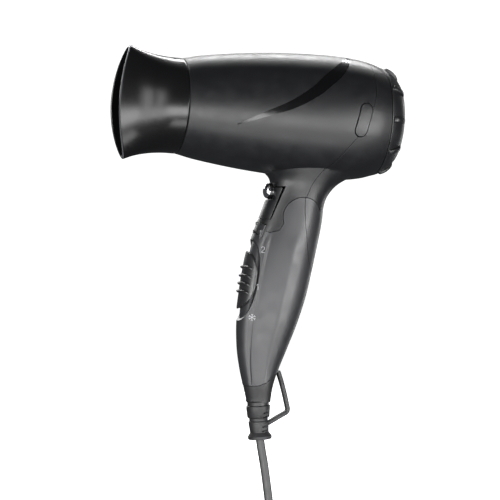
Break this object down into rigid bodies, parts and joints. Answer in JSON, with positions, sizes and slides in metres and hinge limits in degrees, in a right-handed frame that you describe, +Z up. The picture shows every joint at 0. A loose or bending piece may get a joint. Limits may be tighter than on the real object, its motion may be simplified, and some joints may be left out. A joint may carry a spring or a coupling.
{
  "type": "folding travel hair dryer",
  "caption": "Folding travel hair dryer with a slot nozzle, twist-off rear intake cap, hinged handle with release lever, slide switch, hang loop and coiled flat mains cord.",
  "frame": {"origin": "middle of the hand grip, on the dryer's mid-plane", "axes": "+Z up the handle towards the barrel, +X along the barrel towards the rear intake, so the nozzle points along -X; +Y completes the right-handed frame"},
  "size_m": [0.1774, 0.1278, 0.3195],
  "materials": {
    "satin_black": "satin, fine moulded grain",
    "gloss_black": "piano-black gloss",
    "dark_plastic": "matte moulded",
    "soft_rubber": "soft vinyl and rubber",
    "steel": "plain",
    "chrome": "bright plated",
    "brass": "plated",
    "mica": "mica sheet"
  },
  "bodies": {
    "housing": {"front_shell": "satin_black", "rear_shell": "satin_black", "outlet_grille": "dark_plastic", "heat_shield": "mica", "heater_frame": "mica", "heater_coil": "steel", "thermal_cutout": "steel", "motor_can": "steel", "motor_mount": "dark_plastic", "fold_pin": "steel", "lever_pin": "steel", "cord_coil": "soft_rubber", "cord_tail": "soft_rubber", "cord_tie": "dark_plastic", "plug_body": "soft_rubber", "plug_pin_left": "brass", "plug_pin_right": "brass"},
    "nozzle": {"nozzle": "gloss_black"},
    "rear_cap": {"rear_cap": "satin_black", "intake_grille": "satin_black", "filter_screen": "dark_plastic"},
    "fan": {"impeller": "dark_plastic", "motor_shaft": "steel"},
    "release_lever": {"release_lever": "satin_black", "release_knob": "chrome"},
    "handle": {"handle_shell": "satin_black", "handle_spine": "satin_black", "spine_screw_upper": "steel", "spine_screw_lower": "steel", "switch_block": "dark_plastic", "strain_relief": "soft_rubber", "hang_loop": "soft_rubber", "cord_lead": "soft_rubber"},
    "switch_slider": {"switch_slider": "dark_plastic"},
    "latch_left": {"latch_left": "satin_black"},
    "latch_right": {"latch_right": "satin_black"}
  },
  "joints": [
    {"name": "nozzle_spin", "type": "hinge", "parent": "housing", "child": "nozzle", "pos_m": [-0.065, 0, 0.106], "axis": [1, 0, 0], "continuous": true},
    {"name": "rear_cap_twist", "type": "hinge", "parent": "housing", "child": "rear_cap", "pos_m": [0.064, 0, 0.106], "axis": [1, 0, 0], "range_deg": [0, 20]},
    {"name": "fan_spin", "type": "hinge", "parent": "housing", "child": "fan", "pos_m": [0.048, 0, 0.106], "axis": [1, 0, 0], "continuous": true},
    {"name": "release_lever_press", "type": "hinge", "parent": "housing", "child": "release_lever", "pos_m": [-0.001, 0, 0.0442], "axis": [0, 1, 0], "range_deg": [0, 2.8], "stiffness_Nm_per_rad": 0.4},
    {"name": "handle_fold", "type": "hinge", "parent": "housing", "child": "handle", "pos_m": [-0.007, 0, 0.0356], "axis": [0, 1, 0], "range_deg": [0, 90]},
    {"name": "switch_slide", "type": "slide", "parent": "handle", "child": "switch_slider", "axis": [0.1011, 0, 0.9949], "range_m": [-0.006, 0.006]},
    {"name": "latch_left_press", "type": "slide", "parent": "housing", "child": "latch_left", "axis": [0, 1, 0], "range_m": [0, 0.0015], "stiffness_N_per_m": 1500},
    {"name": "latch_right_press", "type": "slide", "parent": "housing", "child": "latch_right", "axis": [0, -1, 0], "range_m": [0, 0.0015], "stiffness_N_per_m": 1500}
  ]
}
